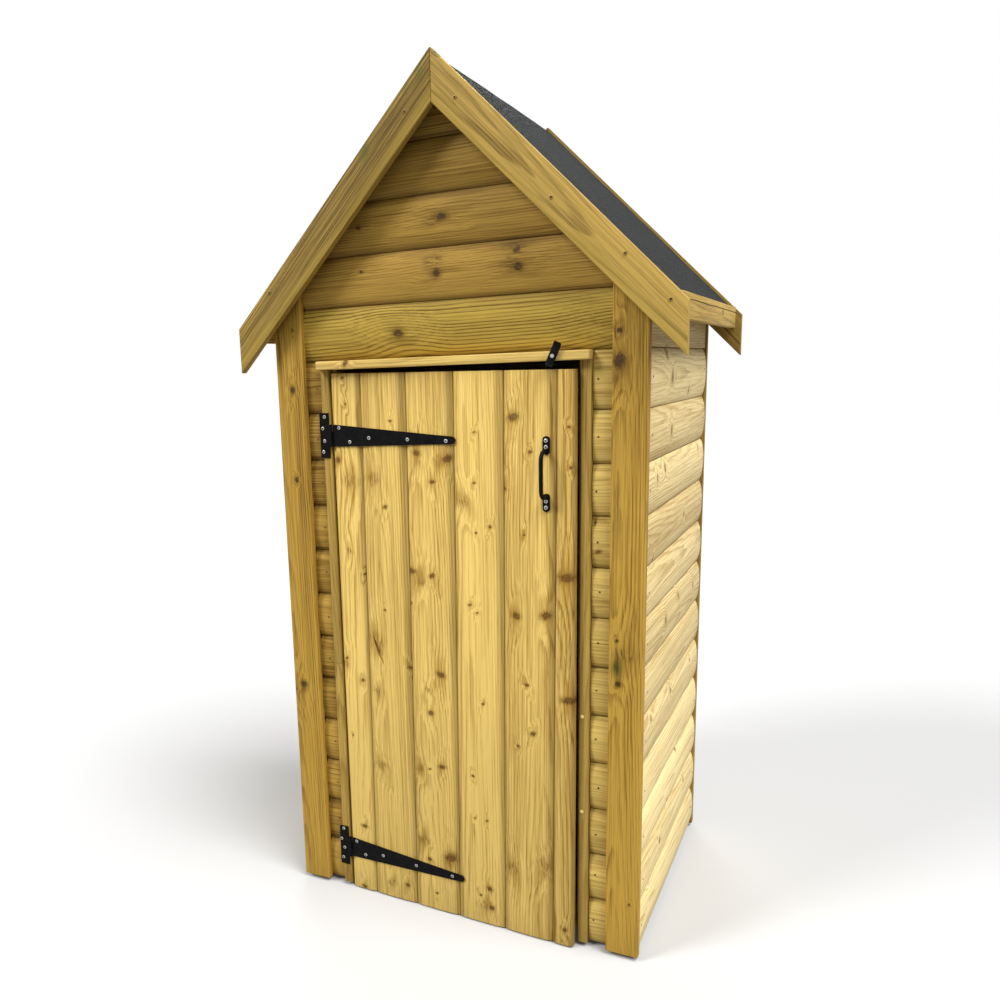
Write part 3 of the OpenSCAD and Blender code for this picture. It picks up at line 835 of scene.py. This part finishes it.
for end, out in ends:
    for sideName, side in sides:
        bargeboard(f"{end}_{sideName}_barge_plank", f"{end}_{sideName}_bargeboard", side, out)
for sideName, side in sides:
    plainBoard(f"{sideName}_fascia_plank", f"{sideName}_eaves_fascia", yAxis, rightward * side,
               trim["jambEdge"], bargePine)


def feltMaterial():
    material, bsdf = newMaterial("mineralFelt")
    place = ownPlace()
    grit = put("ShaderNodeTexVoronoi", {"Vector": place, "Scale": feltLook["grit"]}).outputs
    chance = put("ShaderNodeSeparateColor", {0: grit["Color"]}).outputs[0]
    dark, worn, speck, pit = (tint(*feltLook[key]) for key in ("dark", "worn", "speck", "pit"))
    body = mixed(noise(place, *feltLook["cloud"]), dark, worn)
    body = mixed(ease(chance, *feltLook["speckShare"]), body, speck)
    body = mixed(fade(chance, *feltLook["pitShare"]), body, pit)
    feed(bsdf, {"Base Color": body, "Roughness": scaledSum(chance, *feltLook["rough"]),
                "Specular IOR Level": feltLook["shine"],
                "Normal": bumped(grit["Distance"], *feltLook["relief"])})
    return material


def wave(a, b, counts):
    return math.sin(a * counts[0] + counts[1] * math.sin(b * counts[2]))


def layFelt():
    low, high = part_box("roof_felt")
    pitch = roofLine["pitch"]
    top = roofLine["ridge"] - (roof["feltTop"] + roof["feltThick"] / 2) / math.cos(pitch)
    clearPick()
    across, along = roof["feltGrid"]
    bpy.ops.mesh.primitive_grid_add(x_subdivisions=across, y_subdivisions=along, size=1)
    felt = bpy.context.object
    for v in felt.data.vertices:
        x, y = v.co.x * 2 * high.x, v.co.y * (high.y - low.y)
        ripple = wave(x, y, roof["waveAcross"]) * wave(y, x, roof["waveAlong"])
        v.co = (x, y, top - abs(x) * math.tan(pitch) + ripple * roof["feltWave"])
    useModifier(felt, "SOLIDIFY", thickness=roof["feltThick"], offset=0)
    smoothOver(felt, 30)
    felt.name = "felt_sheet"
    return settle(felt, feltMaterial(), "shed", "roof_felt", "roof_felt")


layFelt()
print("roof covered")

# door
door = {
    "edges": (-0.307, -0.230, -0.1075, 0.015, 0.1375, 0.260, 0.306),  # joints between its boards
    "face": -0.357, "backFace": -0.337, "foot": 0.004, "head": 1.366,
    "gap": 0.0006, "edge": 0.0009, "lean": 0.0108,  # joints lean a little
    "fall": 0.010,  # of the head, towards the free side
    # rounded shoulders: share of the width, share of the depth
    "section": ((0, 1.0), (0.025, 0.62), (0.07, 0.32), (0.16, 0.12), (0.32, 0.02), (0.58, 0.0),
                (0.80, 0.05), (0.90, 0.24), (0.965, 0.62), (1, 1.0)),
    "depth": 0.0045,
    # the shift moves the dark band at the joints, grime and painted shade, to the left of each joint
    "tones": (0.1, 0.45, 0.35, 0.2, 0.5, 0.9), "toneRise": 0.45, "grimeShadeShift": 0.035,
    "knotShape": (1.2, 0, 0.85),
}
doorKnots = ((390, 421, 2.8), (432, 482, 5.6), (447, 459, 10), (474, 432, 2.5), (530, 452, 3.2),
             (474, 483, 2.8), (503, 488, 5), (569, 427, 3.2), (571, 468, 3.5), (385, 507, 5),
             (432, 576, 6.2), (365, 574, 3.2), (476, 533, 2.5), (490, 527, 3.5), (524, 535, 3),
             (567, 578, 12), (470, 605, 3.2), (477, 613, 3), (410, 603, 3.2), (441, 675, 9),
             (431, 713, 6.2), (410, 668, 4.2), (483, 704, 3.2), (442, 767, 6.2), (430, 769, 2.5),
             (527, 685, 4.5), (533, 734, 5), (518, 746, 3), (569, 701, 11), (347, 658, 3),
             (353, 735, 2.2), (363, 680, 3.8), (473, 776, 3), (365, 826, 5.6), (475, 818, 2),
             (487, 821, 2.8), (451, 858, 11), (430, 859, 4.5), (365, 886, 5.6), (408, 885, 5.6),
             (490, 889, 5.6), (481, 895, 3), (492, 908, 6.2), (437, 893, 3), (345, 404, 2.8),
             (342, 378, 3.2), (565, 930, 5), (385, 610, 2.2), (513, 417, 9), (416, 453, 8),
             (516, 616, 8.5), (546, 616, 9.5), (411, 571, 9), (338, 460, 7))
doorBurrs = ((440, 461, 11), (418, 580, 11), (376, 640, 12), (380, 692, 8), (372, 479, 11), (350, 481, 11),
             (382, 766, 8), (512, 868, 11), (545, 868, 12), (393, 882, 7), (350, 551, 5), (430, 690, 7),
             (352, 880, 11), (424, 840, 12), (563, 577, 12), (462, 500, 11), (345, 664, 8), (420, 768, 8),
             (450, 864, 11), (486, 905, 9))
doorStains = ((555, 642, 5, (104, 124, 32), 0.7), (379, 650, 11, (120, 74, 30), 0.75))
crack = {"board": 1, "from": (373, 636, 2), "to": (384, 665, 2), "width": 0.0105, "depth": 0.006,
         # height along its length, share of its width
         "taper": ((0.5, 0.15), (0.25, 0.7), (-0.25, 0.8), (-0.5, 0.05))}


def onDoor(marks, x0=-1.0, x1=1.0):  # only those between two joints of the shut door
    face = doorTurn @ Vector((0, door["face"], 0))
    turned = doorTurn.to_3x3() @ front
    spots = [(seenOn(mark[:2], face, turned), mark[2] / 1000, *mark[3:]) for mark in marks]
    return [spot for spot in spots if x0 < (doorTurn.inverted() @ spot[0]).x < x1]


def doorPine(i):  # each board its own finish, with its own knots
    x0, x1 = door["edges"][i:i + 2]
    look = pineLook((240, 206, 116), (160, 120, 42), (88, 52, 16), ring=0.0060, lines=0.52, threads=0.9,
                    knotty=0.0, grime=0.6)
    return pineMaterial(f"doorPine{i}", look, onDoor(doorKnots, x0, x1), door["knotShape"],
                        stains=onDoor(doorStains, x0, x1), burrs=onDoor(doorBurrs, x0, x1))


def splitBoard(board):  # a narrow wedge sawn out of the face
    top, foot = (doorTurn.inverted() @ spot[0] for spot in onDoor((crack["from"], crack["to"])))
    length, half = (top - foot).length, crack["width"] / 2
    wedge = startBlock("wedge", (-half, -crack["depth"], -length / 2), (half, crack["depth"], length / 2))
    pick(wedge, "EDGE", lambda a, b: abs(a.z - b.z) > length / 2)
    bpy.ops.mesh.subdivide(number_cuts=3)
    for level, share in crack["taper"]:
        pick(wedge, "VERT", lambda p: abs(p.z - level * length) < 1e-4)
        bpy.ops.transform.resize(value=(share, 1, 1), center_override=(0, 0, 0))
    done()
    lean = Matrix.Rotation(math.atan2(top.x - foot.x, top.z - foot.z), 4, "Y")
    wedge.data.transform(Matrix.Translation((top + foot) / 2) @ lean)
    carve(board, wedge)


def doorPlank(i):
    x0, x1 = door["edges"][i:i + 2]
    first, last = door["edges"][0], door["edges"][-1]
    gap, section = door["gap"], door["section"]
    width, height = x1 - x0 - 2 * gap, door["head"] - door["foot"]
    board = startBlock(f"doorPlank{i}", (x0 + gap, door["face"], door["foot"]),
                       (x1 - gap, door["backFace"], door["head"]))
    pick(board, "EDGE", lambda a, b: abs(a.x - b.x) > 0.02)
    bpy.ops.mesh.subdivide(number_cuts=len(section) - 2)
    done()
    for v in board.data.vertices:  # rounded shoulders towards each joint
        share, fall = section[round((v.co.x - x0 - gap) / width * (len(section) - 1))]
        v.co.x = x0 + gap + share * width
        if v.co.y < (door["face"] + door["backFace"]) / 2:
            v.co.y += fall * door["depth"]
    for v in board.data.vertices:
        share = (v.co.x - x0) / (x1 - x0)
        tilt = (0 if x0 == first else 1 - share) + (0 if x1 == last else share)
        level = (v.co.z - door["foot"]) / height
        v.co.x += tilt * door["lean"] * (level - 0.5)
        v.co.z -= level * door["fall"] * (v.co.x - first) / (last - first)
    softenEdges(board, door["edge"], 2, 50)
    if i == crack["board"]:
        splitBoard(board)
    markGrain(board, zAxis, front, (x0 - door["grimeShadeShift"] * width, 0, 0), xAxis, width,
              boardTone=door["tones"][i], toneRise=door["toneRise"])
    return dress(smoothOver(board, 40), doorPine(i))


planks = joined("door_planks", [doorPlank(i) for i in range(len(door["tones"]))])
planks.data.transform(doorTurn)
settle(planks, None, "door", "door_pine", "door_boards")
print("door boarded")


# black steel, zinc, rust and brass
steelLook = {"cloud": (60.0, 4.0, 0.6), "worn": (0.4, 0.75), "roughRange": 0.25,
             "pitting": (900.0, 2.0, 0.5), "relief": (0.25, 0.0004)}


def steelMaterial(name, dark, worn, rough, shine):
    material, bsdf = newMaterial(name)
    place = ownPlace()
    cloud = noise(place, *steelLook["cloud"])
    colour = mixed(ease(cloud, *steelLook["worn"]), tint(*dark), tint(*worn))
    relief = bumped(noise(place, *steelLook["pitting"]), *steelLook["relief"])
    feed(bsdf, {"Base Color": colour, "Roughness": scaledSum(cloud, steelLook["roughRange"], rough),
                "Normal": relief, **shine})
    return material


blackSteel = steelMaterial("blackSteel", (7, 7, 8), (20, 19, 18), 0.36, {"Specular IOR Level": 0.07})
zincScrew = steelMaterial("zincScrew", (186, 186, 182), (150, 150, 148), 0.28, {"Metallic": 0.9})
rustyNail = steelMaterial("rustyNail", (70, 54, 32), (112, 92, 62), 0.5, {"Metallic": 0.4})
rustyScrewHead = steelMaterial("rustyScrewHead", (150, 118, 72), (112, 84, 48), 0.4, {"Metallic": 0.6})
brassScrew = steelMaterial("brassScrew", (240, 212, 132), (196, 162, 84), 0.3, {"Metallic": 0.4})
for node in ("upper_hinge_leaf", "lower_hinge_leaf", "upper_hinge_strap", "lower_hinge_strap"):
    dress(frame["nodes"][node], blackSteel)
dress(frame["nodes"]["turn_button_screw"], zincScrew)

# pull handle: two rounded pads and a bowed bar
pull = {"middle": (0.242, 1.134), "length": 0.165,
        "padLength": 0.040, "padWidth": 0.0165, "padThick": 0.0025, "padSeat": 0.0015,
        "padRound": 0.46, "padEdge": 0.0006, "bar": 0.0045, "reach": 0.034, "bend": 0.020,
        "roundness": 0.5523,  # quarter circle as one curve segment
        "sunk": 0.001, "stub": 0.004, "straight": 0.01}


def padMiddle(side):
    return pull["middle"][1] + side * (pull["length"] - pull["padLength"]) / 2


def handlePad(side):
    x, face = pull["middle"][0], door["face"]
    half, rise = pull["padWidth"] / 2, pull["padLength"] / 2
    pad = startBlock("pad", (x - half, face - pull["padThick"], padMiddle(side) - rise),
                     (x + half, face + pull["padSeat"], padMiddle(side) + rise))
    pick(pad, "EDGE", lambda a, b: abs(a.y - b.y) > 0.001)
    bpy.ops.mesh.bevel(offset=pull["padWidth"] * pull["padRound"], segments=8)
    done()
    softenEdges(pad, pull["padEdge"], 2, 60)
    return pad


def handleBar():
    x, z = pull["middle"]
    face, bend = door["face"], pull["bend"]
    leg = pull["length"] / 2 - pull["padLength"] + pull["padWidth"] / 2
    reach, rise = face - pull["reach"], leg - bend
    knee, easing = reach + bend, pull["roundness"] * bend
    seat, stub, straight = face - pull["sunk"], pull["stub"], pull["straight"]
    # y and z of each point of the upper half, then its handles
    upper = (((seat, leg), (face, leg), (face - stub, leg)),
             ((knee, leg), (knee + stub, leg), (knee - easing, leg)),
             ((reach, rise), (reach, rise + easing), (reach, rise - straight)))
    lower = tuple(tuple((y, -up) for y, up in (point, after, before))
                  for point, before, after in reversed(upper))
    clearPick()
    bpy.ops.curve.primitive_bezier_curve_add()
    bar = bpy.context.object
    rows = bar.data.splines[0].bezier_points
    rows.add(4)
    for point, places in zip(rows, upper + lower):
        point.handle_left_type = point.handle_right_type = "FREE"
        point.co, point.handle_left, point.handle_right = ((x, y, z + up) for y, up in places)
    bar.data.dimensions = "3D"
    bar.data.bevel_depth, bar.data.bevel_resolution, bar.data.resolution_u = pull["bar"], 5, 14
    bar.data.use_fill_caps = True
    focus(bar)
    bpy.ops.object.convert(target="MESH")
    return applyPlace()


pads = [handlePad(side) for side in (-1, 1)]
handle = joined("bowed_pull", [handleBar()] + pads)
handle.data.transform(doorTurn)
settle(smoothOver(handle, 40), blackSteel, "door", "black_steel", "pull_handle")

# turn button with turned-up ends
button = {"long": 0.031, "short": 0.023, "width": 0.017, "plate": 0.0025, "hub": 0.005, "hubGap": 0.0003,
          "hubShare": 0.7, "lean": 24, "curl": 0.0035, "curlFrom": 0.55, "cornerShare": 0.45,
          "plateEdge": 0.0005, "hubEdge": 0.0004}


def buttonPlate():
    half = button["width"] / 2
    plate = startBlock("plate", (-half, -button["hub"] - button["plate"], -button["short"]),
                       (half, -button["hub"], button["long"]))
    pick(plate, "EDGE", lambda a, b: abs(a.z - b.z) > 0.02)
    bpy.ops.mesh.subdivide(number_cuts=13)
    done()
    for v in plate.data.vertices:  # ends curl away from the door head
        reach = v.co.z / button["long"] if v.co.z > 0 else -v.co.z / button["short"]
        v.co.y -= button["curl"] * max(0.0, (reach - button["curlFrom"]) / (1 - button["curlFrom"])) ** 2

    def atCorner(a, b):
        return abs(a.y - b.y) > 0.001 and min(abs(a.z - button["long"]), abs(a.z + button["short"])) < 1e-4

    pick(plate, "EDGE", atCorner)
    bpy.ops.mesh.bevel(offset=half * button["cornerShare"], segments=5)
    done()
    softenEdges(plate, button["plateEdge"], 2, 50)
    return plate


def modelButton():
    pivot = Vector(jointNamed("turn_button_pivot")["pos_m"])
    plate = buttonPlate()
    hub = startDisc(32, button["width"] / 2 * button["hubShare"], button["hub"] - button["hubGap"],
                    -(button["hub"] + button["hubGap"]) / 2)
    softenEdges(hub, button["hubEdge"], 2, 50)
    piece = joined("turn_button_plate", [plate, hub])
    piece.data.transform(Matrix.Translation(pivot) @ turnedBy(button["lean"], "Y"))
    return settle(smoothOver(piece, 40), blackSteel, "turn_button", "black_steel", "turn_button")


modelButton()
print("steelwork made")

# screws and nails, each modelled once, at places read off the photo where a pixel is given
fixings = {
    "screw": 0.0042, "screwHead": 0.0014, "recess": 0.0018, "rustyShare": 0.9, "plate": 0.0025,
    "rim": 0.3, "recessReach": 0.62, "insideReach": 0.66,  # shares of a head's radius
    "dome": 0.4, "recessFloor": 0.3, "insideFrom": 0.05, "insideTo": 1.2,  # shares of its height
    "nail": 0.0023, "nailHead": 0.0008, "nailSunk": 0.0008, "nailHeight": 0.52, "nailStray": (0.006, 0.008),
    "strapScrews": ((339, 428), (350, 442), (369, 438), (407.5, 439.5), (446, 441),
                    (357, 841), (366, 854.5), (383.5, 855.5), (416.5, 865.5), (452.5, 876)),
    "leafScrews": ((324.5, 417), (323, 428.5), (325, 441), (324, 452),
                   (344, 828), (342, 838), (345, 847), (344, 856.5)),
    "padScrews": (0.0105, -0.0035),  # outwards from the middle of the pad
    "bargeScrews": ((454.7, 97), (551, 197), (625.4, 253), (671, 299), (404.5, 111), (269.6, 292.5)),
    "jambScrews": ((584, 717), (584, 812)), "jambLine": 0.319,
    # the way each wall faces, and its two columns of nails
    "nails": {"front": ("front_left_wall", 0, (-0.348, 0.350)), "back": ("back_wall", 180, (-0.36, 0.36)),
              "right": ("right_wall", 90, (-0.325, 0.322)), "left": ("left_wall", -90, (-0.325, 0.322))},
}


def modelHead(name, material, radius, height, recess=0.0):  # seat at the origin, head towards the front
    head = startDisc(16, radius, height, -height / 2)
    head.name = name
    pick(head, "FACE", lambda c, n: n.y < -0.9)
    bpy.ops.mesh.inset(thickness=radius * fixings["rim"])
    bpy.ops.transform.translate(value=(0, -height * fixings["dome"], 0))
    done()
    reach = radius * fixings["recessReach"]
    for turn in (0, 90) if recess else ():  # cross recess
        blade = startBlock("blade", (-recess / 2, -2 * height, -reach),
                           (recess / 2, -height * fixings["recessFloor"], reach))
        blade.data.transform(turnedBy(turn, "Y"))
        carve(head, blade)
    smoothOver(head, 30)
    dress(head, material)
    if recess:  # painted shade: the faces inside the recess take the black steel
        head.data.materials.append(blackSteel)
        for face in head.data.polygons:
            inside = math.hypot(face.center.x, face.center.z) < radius * fixings["insideReach"]
            deep = fixings["insideFrom"] < -face.center.y / height < fixings["insideTo"]
            face.material_index = int(inside and deep)
    return head


def fixAll(name, model, places, turn, body):
    copies = []
    for place in places:
        copy = copyOf(model, name)
        spin = Matrix.Rotation(random.uniform(0, math.pi), 4, "Y")
        copy.data.transform(Matrix.Translation(place) @ turn @ spin)
        copies.append(copy)
    settle(joined(name, copies), None, body, "zinc_screw")


def seenAll(key, point, normal=front):
    return [seenOn(pixel, point, normal) for pixel in fixings[key]]


def screwDoor(screw):
    ajar = doorTurn.to_3x3().to_4x4()
    plateFace = Vector((0, door["face"] - fixings["plate"], 0))
    places = seenAll("strapScrews", doorTurn @ plateFace, ajar.to_3x3() @ front)
    for side in (-1, 1):
        for outward in fixings["padScrews"]:
            rise = zAxis * (padMiddle(side) + side * outward)
            places.append(doorTurn @ (plateFace + xAxis * pull["middle"][0] + rise))
    fixAll("door_screws", screw, places, ajar, "door")
    fixAll("leaf_screws", screw, seenAll("leafScrews", plateFace), Matrix.Identity(4), "shed")


def screwTrim(rustyScrew, brass):
    straight, halfTurn = Matrix.Identity(4), turnedBy(180, "Z")
    places = seenAll("bargeScrews", (0, faces["barge"], 0))
    fixAll("front_barge_screws", rustyScrew, places, straight, "shed")
    fixAll("back_barge_screws", rustyScrew, [halfTurn @ place for place in places], halfTurn, "shed")
    places = seenAll("jambScrews", (0, door["face"], 0))
    for place in places:
        place.x = fixings["jambLine"]
    fixAll("jamb_screws", brass, places, straight, "shed")


def nailWalls(nail):  # two nails in each course, on its crest
    joints = courseJoints(walls["foot"], walls["head"])
    crests = [foot + fixings["nailHeight"] * (head - foot) for foot, head in zip(joints, joints[1:])]
    aside, up = fixings["nailStray"]
    for end, (node, degrees, columns) in fixings["nails"].items():
        turn = turnedBy(degrees, "Z")
        out, along = turn @ front, turn @ xAxis
        low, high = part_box(node)
        face = out * (max(low.dot(out), high.dot(out)) - fixings["nailSunk"])
        places = [face + along * (column + random.uniform(-aside, aside))
                  + zAxis * (z + random.uniform(-up, up)) for z in crests for column in columns]
        fixAll(end + "_nails", nail, places, turn, "shed")


radius, height, recess = fixings["screw"], fixings["screwHead"], fixings["recess"]
screw = modelHead("screw", zincScrew, radius, height, recess)
rustyScrew = modelHead("rustyScrew", rustyScrewHead, radius * fixings["rustyShare"], height, recess)
brass = modelHead("brass", brassScrew, radius, height)
nail = modelHead("nail", rustyNail, fixings["nail"], fixings["nailHead"])
screwDoor(screw)
screwTrim(rustyScrew, brass)
nailWalls(nail)
for model in (screw, rustyScrew, brass, nail, logLapModel):
    discard(model)
print("screws and nails driven")

# floor planks lie across the bearers
floorLook = {"planks": 6, "gap": 0.002, "edge": 0.0012}


def layFloor():
    low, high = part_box("floor_boards")
    width = (high.y - low.y) / floorLook["planks"]
    laid = []
    for i in range(floorLook["planks"]):
        start = low.y + i * width
        plank = startBlock(f"floorPlank{i}", (low.x, start, low.z),
                           (high.x, start + width - floorLook["gap"], high.z))
        softenEdges(plank, floorLook["edge"])
        laid.append(smoothOver(markGrain(plank, xAxis, zAxis)))
    settle(joined("floor_planks", laid), sawnBoard, "shed", "frame_pine", "floor_boards")


layFloor()

# inner timber keeps its solids, with the grain along each
innerTimber = {"x": ("floor_bearers", "back_bottom_rail", "head_rails", "door_ledges", "door_braces"),
               "y": ("left_bottom_rail", "right_bottom_rail", "wall_plates", "ridge_beam",
                     "left_roof_deck", "right_roof_deck"),
               "z": ("corner_studs", "door_posts")}
for axis, nodes in innerTimber.items():
    for node in nodes:
        dress(frame["nodes"][node], sawnPine[axis])
print("inside finished")

# stage: pale floor, white all round, soft light
stage = {"floor": 40, "indirect": 0.2, "seen": 0.52, "lift": 0.02, "world": 0.22, "lampDistance": 6,
         "lamps": {"key": {"from": (-0.52, -0.56, 0.64), "strength": 2.3, "spread": 20},
                   "fill": {"from": (0.50, -0.16, 0.85), "strength": 4.25, "spread": 40},
                   "rear": {"from": (-0.40, 0.78, 0.48), "strength": 1.2, "spread": 30}}}
white = (1, 1, 1, 1)


def seenDirectly():  # by the camera, or in metal and glass
    path = put("ShaderNodeLightPath").outputs
    mirrored = calc("MAXIMUM", path["Is Glossy Ray"], path["Is Transmission Ray"])
    return calc("MAXIMUM", path["Is Camera Ray"], mirrored)


def layStageFloor():
    clearPick()
    bpy.ops.mesh.primitive_plane_add(size=stage["floor"], location=(0, 0, 0))
    floor = bpy.context.object
    floor.name = "studioFloor"
    material, bsdf = newMaterial("studioFloor")
    seen = seenDirectly()
    pale = mixed(seen, (*[stage["indirect"]] * 3, 1), (*[stage["seen"]] * 3, 1))
    feed(bsdf, {"Base Color": pale, "Roughness": 1.0, "Specular IOR Level": 0.0, "Emission Color": white,
                "Emission Strength": times(seen, stage["lift"])})
    dress(floor, material)


def lightStage():
    world = bpy.data.worlds.new("studio")
    bpy.context.scene.world = world
    world.use_nodes = True
    shading["tree"] = world.node_tree
    strength = scaledSum(seenDirectly(), 1.0 - stage["world"], stage["world"])
    feed(world.node_tree.nodes["Background"], {"Color": white, "Strength": strength})
    for name, lamp in stage["lamps"].items():
        bpy.ops.object.light_add(type="SUN", location=Vector(lamp["from"]) * stage["lampDistance"])
        sun = bpy.context.object
        sun.name = name + "Light"
        sun.data.energy = lamp["strength"]
        sun.data.angle = math.radians(lamp["spread"])
        sun.rotation_euler = Vector(lamp["from"]).to_track_quat("Z", "Y").to_euler()


layStageFloor()
lightStage()
bpy.context.scene.view_settings.view_transform = "Standard"
print("stage lit")
